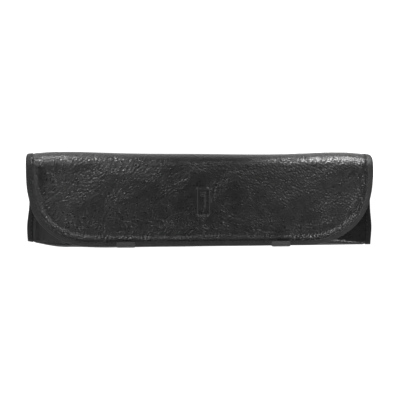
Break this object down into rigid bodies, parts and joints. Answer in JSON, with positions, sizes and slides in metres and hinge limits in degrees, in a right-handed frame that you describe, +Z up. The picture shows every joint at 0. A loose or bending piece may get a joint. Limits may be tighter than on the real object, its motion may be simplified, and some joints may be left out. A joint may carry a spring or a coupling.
{
  "type": "pencil case",
  "caption": "Long slim leather pencil case: flat back, pillow-shaped front pocket, and a padded round-cornered flap on a two-crease spine, with webbing pull tabs.",
  "frame": {"origin": "centre of the flat back, on the surface that the closed case lies on", "axes": "+X along the case to the right as seen from the flap's side, +Y towards the spine, +Z up through the thickness, out of the flap"},
  "size_m": [0.23, 0.0634, 0.018],
  "materials": {
    "leather": "black pebbled leather, semi-matte",
    "lining": "black woven nylon lining",
    "tape": "black twill binding tape",
    "webbing": "dark grey ribbed webbing",
    "board": "pressed fibreboard",
    "interlining": "stiff bonded cloth",
    "foam": "thin sheet foam",
    "steel": "nickel-plated"
  },
  "bodies": {
    "case": {"back_leather": "leather", "back_board": "board", "back_lining": "lining", "pocket_leather": "leather", "pocket_interlining": "interlining", "pocket_lining": "lining", "mouth_tape": "tape", "side_tape_left": "tape", "side_tape_right": "tape", "striker_left": "steel", "striker_right": "steel"},
    "spine": {"spine_leather": "leather", "spine_lining": "lining", "spine_tape_left": "tape", "spine_tape_right": "tape"},
    "flap": {"flap_leather": "leather", "flap_foam": "foam", "flap_lining": "lining", "flap_tape": "tape", "pull_tab_left": "webbing", "pull_tab_right": "webbing", "magnet_left": "steel", "magnet_right": "steel"}
  },
  "joints": [
    {"name": "spine_fold", "type": "hinge", "parent": "case", "child": "spine", "pos_m": [0, 0.02976, 0.00194], "axis": [-1, 0, 0], "range_deg": [0, 90]},
    {"name": "flap_fold", "type": "hinge", "parent": "spine", "child": "flap", "pos_m": [0, 0.02976, 0.01606], "axis": [-1, 0, 0], "range_deg": [0, 90]}
  ],
  "couplings": [
    {"joint": "flap_fold", "follows": "spine_fold", "ratio": 1}
  ]
}
